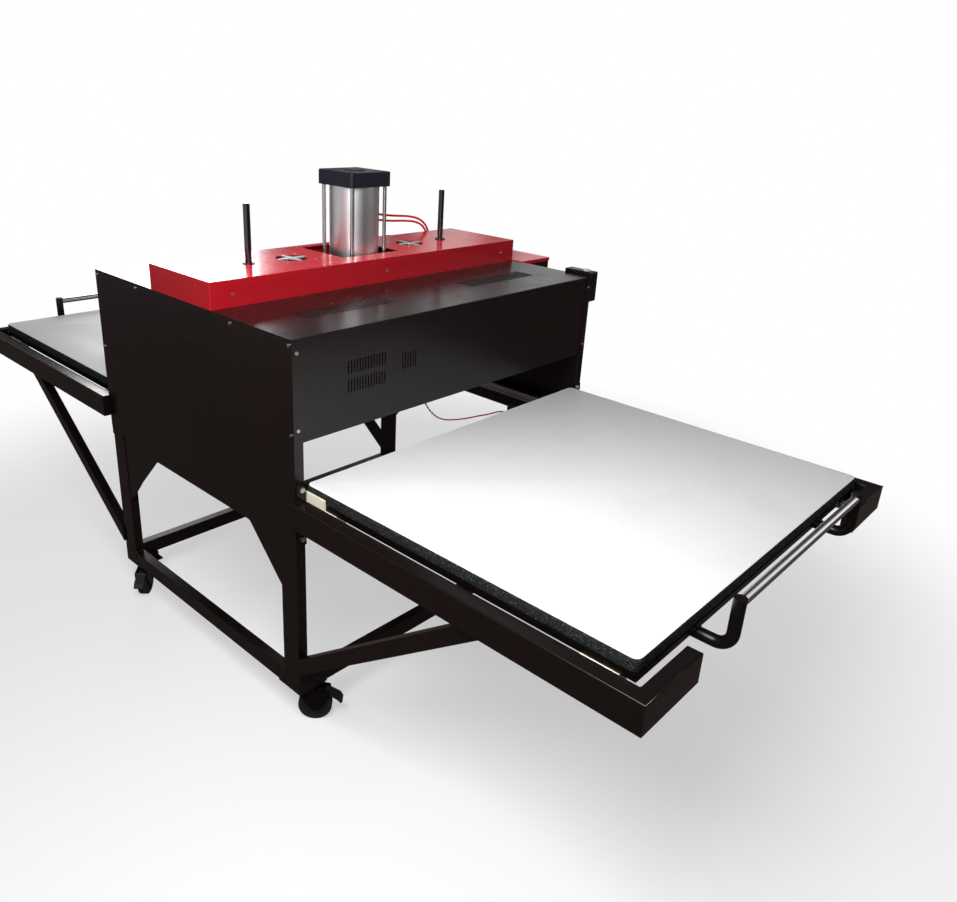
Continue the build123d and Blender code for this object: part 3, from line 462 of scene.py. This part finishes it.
track = evenly(track, cableLook["step"])
work = bmesh.new()
side = Vector((1, 0, 0))
for core in (0, math.pi):
    loops = []
    for i, place in enumerate(track):
        ahead = (track[min(i + 1, len(track) - 1)] - track[max(i - 1, 0)]).normalized()
        other = ahead.cross(side).normalized()
        turn = core + 2 * math.pi * i * cableLook["step"] / cableLook["pitch"]
        centre = place + (side * math.cos(turn) + other * math.sin(turn)) * cableLook["core"]
        loops.append(ringOf(centre, side, other, cableLook["core"], cableLook["sides"]))
    loft(work, loops)
cable = meshPiece("sensorCable", work, "cable_red", "frame")
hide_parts("sensor_cable")
print("sensor cable twisted")

# trays: foam pad with a worn, slightly uneven edge, and the white top sheet
trayReach = {"side": 600, "near": 503, "far": 1503, "step": 0.009}
padLook = {"low": 757, "high": 788, "corner": 14, "inset": 0.3, "roll": 4.0, "uneven": 0.0011}
sheetLook = {"low": 788, "high": 790, "corner": 16, "inset": 2.5, "roll": 0.7, "uneven": 0.0}


def slab(name, look, end, slot):
    unevenness = look["uneven"]
    near, far = end * trayReach["near"], end * trayReach["far"]
    low = at(-trayReach["side"] + look["inset"], min(near, far) + look["inset"], look["low"])
    high = at(trayReach["side"] - look["inset"], max(near, far) - look["inset"], look["high"])
    work = bmesh.new()
    loops = []
    roll = look["roll"] / 1000
    tall = high.z - low.z
    rungs = [(roll, 0.0), (roll * 0.3, roll * 0.3), (0.0, roll)]
    middle = [(0.0, roll + (tall - 2 * roll) * k / 3) for k in (1, 2)] if unevenness else []
    rungs += middle + [(0.0, tall - roll), (roll * 0.3, tall - roll * 0.3), (roll, tall)]
    outline = roundedOutline(low, high, look["corner"] / 1000, trayReach["step"])
    for inset, rise in rungs:
        loop = []
        for place, out in outline:
            worn = 0.0
            if unevenness:
                worn = 0.5 - 0.5 * noise.noise(place * 22 + Vector((0, 0, rise * 30)))
                worn += 0.25 - 0.5 * noise.noise(place * 95 + Vector((0, 0, rise * 160)))
            shift = inset + max(0.0, worn) * unevenness
            loop.append((place.x - out.x * shift, place.y - out.y * shift, low.z + rise))
        loops.append(loop)
    loft(work, loops)
    return meshPiece(name, work, slot, "tray_front" if end < 0 else "tray_rear")


for end, place in ((-1, "front"), (1, "rear")):
    pad = slab(f"foamPad_{place}", padLook, end, "pad_black")
    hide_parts(f"tray_{place}_pad")
    top = slab(f"topSheet_{place}", sheetLook, end, "sheet_white")
    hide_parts(f"tray_{place}_sheet")
print("trays covered")

# weld beads where the tubes and braces meet
weldLook = {"radius": 2.6, "step": 3.0}
welds = []
for sx in (-1, 1):
    for sy in (-1, 1):
        welds += [((sx * 640, sy * 441, 134), (sx * 640, sy * 441, 181)),
                  ((sx * 638, sy * 441, 182), (sx * 612, sy * 441, 182)),
                  ((sx * 610, sy * 511, 134), (sx * 610, sy * 511, 181)),
                  ((sx * 610, sy * 509, 182), (sx * 610, sy * 483, 182)),
                  ((sx * 640, sy * 441, 642), (sx * 640, sy * 441, 688))]


def beads(name, runs, body, slot):
    work = bmesh.new()
    for start, finish in runs:
        a, b = at(*start), at(*finish)
        count = max(2, round((b - a).length * 1000 / weldLook["step"]))
        for k in range(count + 1):
            place = a.lerp(b, k / count)
            size = weldLook["radius"] / 1000 * (1 + 0.18 * noise.noise(place * 300))
            made = bmesh.ops.create_icosphere(work, subdivisions=1, radius=size)
            for v in made["verts"]:
                v.co = v.co + place
    return meshPiece(name, work, slot, body)


beads("frameWelds", welds, "frame", "body_black")
railWelds = []
for sx in (-1, 1):
    for sy in (-1, 1):
        railWelds += [((sx * 646, sy * 1108, 688), (sx * 646, sy * 1176, 688)),
                      ((sx * 616, sy * 1108, 688), (sx * 616, sy * 1176, 688)),
                      ((sx * 644, sy * 1177, 688), (sx * 618, sy * 1177, 688)),
                      ((sx * 624, sy * 1526, 691), (sx * 624, sy * 1526, 759))]
beads("railWelds", railWelds, "frame", "body_black")
print("welds run")

# the stubs' rounded top edges, which catch the light
rollLook = {"radius": 1.7, "inset": 1.3, "sides": 12, "x": (664, 447), "y": 1560, "z": 761}
work = bmesh.new()
for sx in (-1, 1):
    for sy in (-1, 1):
        loops = []
        for x in rollLook["x"]:
            middle = at(sx * x, sy * (rollLook["y"] - rollLook["inset"]), rollLook["z"] - rollLook["inset"])
            loops.append(ringOf(middle, Vector((0, 1, 0)), Vector((0, 0, 1)), rollLook["radius"] / 1000,
                                rollLook["sides"]))
        loft(work, loops)
meshPiece("stubEdges", work, "body_black", "frame")

# bright four-armed guards over the fans
guardLook = {"x": 255, "reach": 50.0, "root": 8.0, "tip": 6.0, "z": (1264.2, 1267.2), "hub": 13.0}
work = bmesh.new()
for sx in (-1, 1):
    outline = []
    for quarter in range(4):
        a = quarter * math.pi / 2
        for along, across in ((guardLook["reach"], -guardLook["tip"]), (guardLook["reach"], guardLook["tip"]),
                              (guardLook["hub"], guardLook["root"])):
            outline.append((along * math.cos(a) - across * math.sin(a),
                            along * math.sin(a) + across * math.cos(a)))
    low, high = guardLook["z"]
    rings = ((1.0, low), (1.0, high - 0.8), (0.985, high))
    loft(work, [[at(sx * guardLook["x"] + x * share, y * share, z) for x, y in outline]
                for share, z in rings])
guardFinish = drawnMetal("guardBright", {"colour": (0.93, 0.93, 0.94), "roughness": 0.42, "spread": 0.12,
                                         "scale": 200.0, "run": (1, 0.1, 1), "depth": 0.08})
meshPiece("fanGuards", work, "screw_steel", "frame", smooth=False, look=guardFinish)

# pressed louvres in the hood's top, in front of the red cover
louvreLook = {"x": (166, 490), "y": (-380, -302), "z": 1189.9, "pitch": 12.0, "wide": 5.0, "tall": 1.3,
              "sides": 6, "ends": ((0, 0.15), (3, 0.8), (6, 1.0))}
work = bmesh.new()
for sx in (-1, 1):
    count = int((louvreLook["x"][1] - louvreLook["x"][0]) / louvreLook["pitch"])
    for k in range(count):
        x = sx * (louvreLook["x"][0] + (k + 0.5) * louvreLook["pitch"])
        near, far = louvreLook["y"]
        along = [(near + y, share) for y, share in louvreLook["ends"]]
        along += [(far - y, share) for y, share in reversed(louvreLook["ends"])]
        loops = []
        for place, share in along:
            arch = []
            for i in range(louvreLook["sides"] + 1):
                a = math.pi * i / louvreLook["sides"]
                arch.append(at(x - louvreLook["wide"] / 2 * share * math.cos(a), place,
                               louvreLook["z"] + louvreLook["tall"] * share * math.sin(a)))
            loops.append(arch)
        loft(work, loops)
meshPiece("hoodLouvres", work, "body_black", "frame")
print("edges and louvres pressed")

# cylinder head: four socket screws in the corner recesses
headLook = {"offset": 69, "floor": 1514, "sides": 24,
            "rings": ((7.2, 0.0), (7.2, 4.2), (6.6, 5.0), (3.6, 5.0), (3.4, 2.6))}
work = bmesh.new()
for x in (-headLook["offset"], headLook["offset"]):
    for y in (-headLook["offset"], headLook["offset"]):
        base = at(x, y, headLook["floor"])
        loops = []
        for radius, rise in headLook["rings"]:
            loops.append(ringOf(base + Vector((0, 0, rise)) / 1000, Vector((1, 0, 0)), Vector((0, 1, 0)),
                                radius / 1000, headLook["sides"]))
        loft(work, loops)
meshPiece("headScrews", work, "bush_steel", "frame", smooth=False)

# screw heads: crossed slots as thin dark marks on the cover screws, painted shade in place of the slots'
# recess
crossLook = {"long": 5.6, "wide": 1.1, "proud": 0.15, "side": 644.5, "end": 517.5, "cover": 162.5,
             "sideSpots": [(-503, 937), (503, 1175), (503, 937), (-250, 1176), (254, 1176)]}
crosses = []
for sx in (-1, 1):
    spots = list(crossLook["sideSpots"])
    if sx < 0:
        spots.append((-503, 1175))  # the button box hides this one on the right
    crosses += [((sx * crossLook["side"], y, z), "X", sx) for y, z in spots]
for sy in (-1, 1):
    crosses += [((x, sy * crossLook["end"], z), "Y", sy) for x in (-629, 629) for z in (1155, 950)]
    crosses += [((x, sy * crossLook["cover"], 1225), "Y", sy) for x in (-571, 0, 571)]
work = bmesh.new()
for place, letter, way in crosses:
    centre = at(*place)
    out = Vector((way, 0, 0)) if letter == "X" else Vector((0, way, 0))
    flat = Vector((0, 1, 0)) if letter == "X" else Vector((1, 0, 0))
    spin = noise.noise(centre * 40) * 2.0
    for k in (0, 1):
        a = spin + k * math.pi / 2
        along = flat * math.cos(a) + Vector((0, 0, 1)) * math.sin(a)
        across = out.cross(along)
        corners = []
        for s, t in ((-1, -1), (1, -1), (1, 1), (-1, 1)):
            corners.append(centre + along * (s * crossLook["long"] / 2000)
                           + across * (t * crossLook["wide"] / 2000))
        proud = out * (crossLook["proud"] / 1000)
        loft(work, [[c - proud for c in corners], [c + proud for c in corners]])
# dark steel on the slot marks: painted shade of the recess
meshPiece("screwSlotShade", work, "bush_steel", "frame", smooth=False)
print("small screws detailed")

# operating panel: two display windows with plain numbers, and marks on the keys
panelLook = {"face": -207.5, "windowX": ((678, 724), (730, 776)), "windowZ": (1096, 1134),
             "digit": (9.0, 18.0), "start": (5, 10), "pitch": 13, "thick": 0.9, "readings": ("180", "060"),
             "keyFace": -211.0, "keyX": 688, "keyPitch": 26, "keyZ": 1018}
glass = Finish("displayGlass", (0.006, 0.006, 0.007), 0.08, Specular_IOR_Level=0.5)
glass.put("Roughness", 0.06 + glass.grain(30.0, 4.0) * 0.06)
digits = {}
for key, colour in (("warm", (1.0, 0.05, 0.02)), ("cool", (0.05, 1.0, 0.15))):
    lit = Finish(f"digit_{key}", colour, 0.4)
    lit.put("Emission Color", lit.blend(lit.grain(200.0), tint(colour, 0.8), tint(colour, 1.0)))
    lit.shader.inputs["Emission Strength"].default_value = 0.8
    digits[key] = lit.material
segments = {"0": "abcdef", "1": "bc", "6": "acdefg", "8": "abcdefg"}
strokes = {"a": (0, 1, 1, 1), "b": (1, 1, 1, 0.5), "c": (1, 0.5, 1, 0), "d": (0, 0, 1, 0),
           "e": (0, 0.5, 0, 0), "f": (0, 1, 0, 0.5), "g": (0, 0.5, 1, 0.5)}


def frontBox(work, x, y, z):
    corners = [at(x[0], y[0], z[0]), at(x[1], y[0], z[0]), at(x[1], y[0], z[1]), at(x[0], y[0], z[1])]
    deep = Vector((0, (y[1] - y[0]) / 1000, 0))
    loft(work, [corners, [c + deep for c in corners]])


for (left, right), reading, key in zip(panelLook["windowX"], panelLook["readings"], ("warm", "cool")):
    work = bmesh.new()
    frontBox(work, (left, right), (panelLook["face"] - 0.8, panelLook["face"]), panelLook["windowZ"])
    meshPiece(f"display_{key}", work, "panel_grey", "frame", smooth=False, look=glass.material)
    work = bmesh.new()
    wide, tall = panelLook["digit"]
    thick = panelLook["thick"]
    for place, figure in enumerate(reading):
        x0 = left + panelLook["start"][0] + place * panelLook["pitch"]
        z0 = panelLook["windowZ"][0] + panelLook["start"][1]
        for mark in segments[figure]:
            ax, az, bx, bz = strokes[mark]
            xs = sorted((x0 + ax * wide, x0 + bx * wide))
            zs = sorted((z0 + az * tall, z0 + bz * tall))
            frontBox(work, (xs[0] - thick, xs[1] + thick), (panelLook["face"] - 1.0, panelLook["face"] - 0.8),
                     (zs[0] - thick, zs[1] + thick))
    meshPiece(f"figures_{key}", work, "button_red", "frame", smooth=False, look=digits[key])
work = bmesh.new()
for i, shape in enumerate(("up", "down", "bar", "dot")):
    cx, cz, face = panelLook["keyX"] + panelLook["keyPitch"] * i, panelLook["keyZ"], panelLook["keyFace"]
    if shape in ("up", "down"):
        s = 1 if shape == "up" else -1
        corners = [(cx - 4, cz - 3 * s), (cx + 4, cz - 3 * s), (cx, cz + 3.5 * s)]
    elif shape == "bar":
        corners = [(cx - 4, cz - 1), (cx + 4, cz - 1), (cx + 4, cz + 1), (cx - 4, cz + 1)]
    else:
        turns = [a * math.pi / 8 for a in range(16)]
        corners = [(cx + 3 * math.cos(a), cz + 3 * math.sin(a)) for a in turns]
    loft(work, [[at(x, face, z) for x, z in corners], [at(x, face - 0.2, z) for x, z in corners]])
meshPiece("keyMarks", work, "button_grey", "frame", smooth=False)
print("panel finished")

# floor, world and lamps
stageLook = {"floor": (0.86, 0.86, 0.86), "size": 16.0, "glow": (0.5, 1.0), "fade": (1.5, 2.9),
             "mirrorFloor": (0.10, 0.072, 0.070, 1), "mirrorLeft": (4.5, 5.3), "ambient": 0.21,
             "mirrorDim": 0.07, "mirrorBright": 0.95, "paneEdge": 0.8, "paneFoot": (0.10, 0.04),
             "paneHead": (0.55, 0.1),
             "panes": ((35.5, 2.6), (42.5, 2.0), (48.3, 1.0), (80, 4), (100, 4), (130, 6), (165, 6),
                       (-20, 5), (-60, 6), (-110, 6), (-150, 6))}  # bearing and half width, in degrees
floorMesh = bpy.data.meshes.new("floor")
reach = stageLook["size"]
floorMesh.from_pydata([(-reach, -reach, 0), (reach, -reach, 0), (reach, reach, 0), (-reach, reach, 0)], [],
                      [(0, 1, 2, 3)])
floor = bpy.data.objects.new("floor", floorMesh)
bpy.context.collection.objects.link(floor)
ground = Finish("ground", stageLook["floor"], 0.9, Specular_IOR_Level=0.0)
away = ground.node("ShaderNodeVectorMath", {"operation": "LENGTH"}, {0: ground.spot()}, out=1)
low, high = stageLook["glow"]
near, far = stageLook["fade"]
glow = ground.node("ShaderNodeMapRange", {"interpolation_type": "SMOOTHSTEP"},
                   {0: away, 1: near, 2: far, 3: low, 4: high})
seen = ground.node("ShaderNodeLightPath", out=0) * glow
mirrored = ground.node("ShaderNodeLightPath", out=3)
lit = ground.node("ShaderNodeEmission", None, {"Color": (1, 1, 1, 1), "Strength": 1.0})
dim = ground.node("ShaderNodeEmission", None, {"Color": stageLook["mirrorFloor"], "Strength": 1.0})
shown = ground.node("ShaderNodeMixShader", None, {0: seen, 2: lit})
ground.tree.links.new(ground.shader.outputs[0], shown.socket.node.inputs[1])
near, far = stageLook["mirrorLeft"]
leftward = ground.node("ShaderNodeMapRange", {"clamp": True},
                       {0: 0.0 - ground.axis("X"), 1: near, 2: far, 3: 0.0, 4: 1.0})
dim = ground.node("ShaderNodeMixShader", None, {0: leftward, 1: dim, 2: lit})
shown = ground.node("ShaderNodeMixShader", None, {0: mirrored, 1: shown, 2: dim})
ground.tree.links.new(shown.socket, ground.tree.nodes["Material Output"].inputs["Surface"])
floorMesh.materials.append(ground.material)
floor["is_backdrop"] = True

# the camera sees a white world, mirrors see a dim hall with bright tall windows in it
world = bpy.data.worlds.new("studio")
bpy.context.scene.world = world
world.use_nodes = True
sky = Nodes(world.node_tree)
backdrop = world.node_tree.nodes["Background"]
backdrop.inputs["Strength"].default_value = stageLook["ambient"]
backdrop.inputs["Color"].default_value = (1, 1, 1, 1)
white, hall, window = (sky.node("ShaderNodeBackground", None, {"Color": (1, 1, 1, 1), "Strength": strength})
                       for strength in (1.0, stageLook["mirrorDim"], stageLook["mirrorBright"]))
toward = sky.node("ShaderNodeTexCoord", out=0)
east, north, up = (sky.node("ShaderNodeSeparateXYZ", None, {0: toward}, out=i) for i in range(3))
bearing = north.maths("ARCTAN2", north, east)
panes = None
for middle, half in stageLook["panes"]:
    off = (bearing - math.radians(middle)).size()
    pane = 1.0 - off.above(math.radians(half), math.radians(stageLook["paneEdge"]))
    panes = pane if panes is None else panes.maths("MAXIMUM", panes, pane)
panes = panes * up.above(*stageLook["paneFoot"]) * (1.0 - up.above(*stageLook["paneHead"]))
seenInMirrors = sky.node("ShaderNodeMixShader", None, {0: panes, 1: hall, 2: window})
mixed = sky.node("ShaderNodeMixShader", None, {0: sky.node("ShaderNodeLightPath", out=3), 2: seenInMirrors})
world.node_tree.links.new(backdrop.outputs[0], mixed.socket.node.inputs[1])
mixed = sky.node("ShaderNodeMixShader", None, {0: sky.node("ShaderNodeLightPath", out=0), 1: mixed, 2: white})
world.node_tree.links.new(mixed.socket, world.node_tree.nodes["World Output"].inputs["Surface"])

lamps = {
    "keyLamp": {"place": (-1500, -1300, 2100), "aim": (-450, -1000, 790), "size": 0.9, "power": 56},
    "fillLamp": {"place": (2600, -2600, 2600), "aim": (0, -400, 800), "size": 2.6, "power": 14},
    "backLamp": {"place": (1210, 3480, 2100), "aim": (-580, 0, 1230), "size": 1.3, "power": 44},
}
for name, lamp in lamps.items():
    light = bpy.data.lights.new(name, "AREA")
    light.size = lamp["size"]
    light.energy = lamp["power"]
    holder = bpy.data.objects.new(name, light)
    holder.location = at(*lamp["place"])
    holder.rotation_euler = (at(*lamp["aim"]) - holder.location).to_track_quat("-Z", "Y").to_euler()
    bpy.context.collection.objects.link(holder)
bpy.context.scene.view_settings.view_transform = "Standard"
print("stage lit")

low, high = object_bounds()
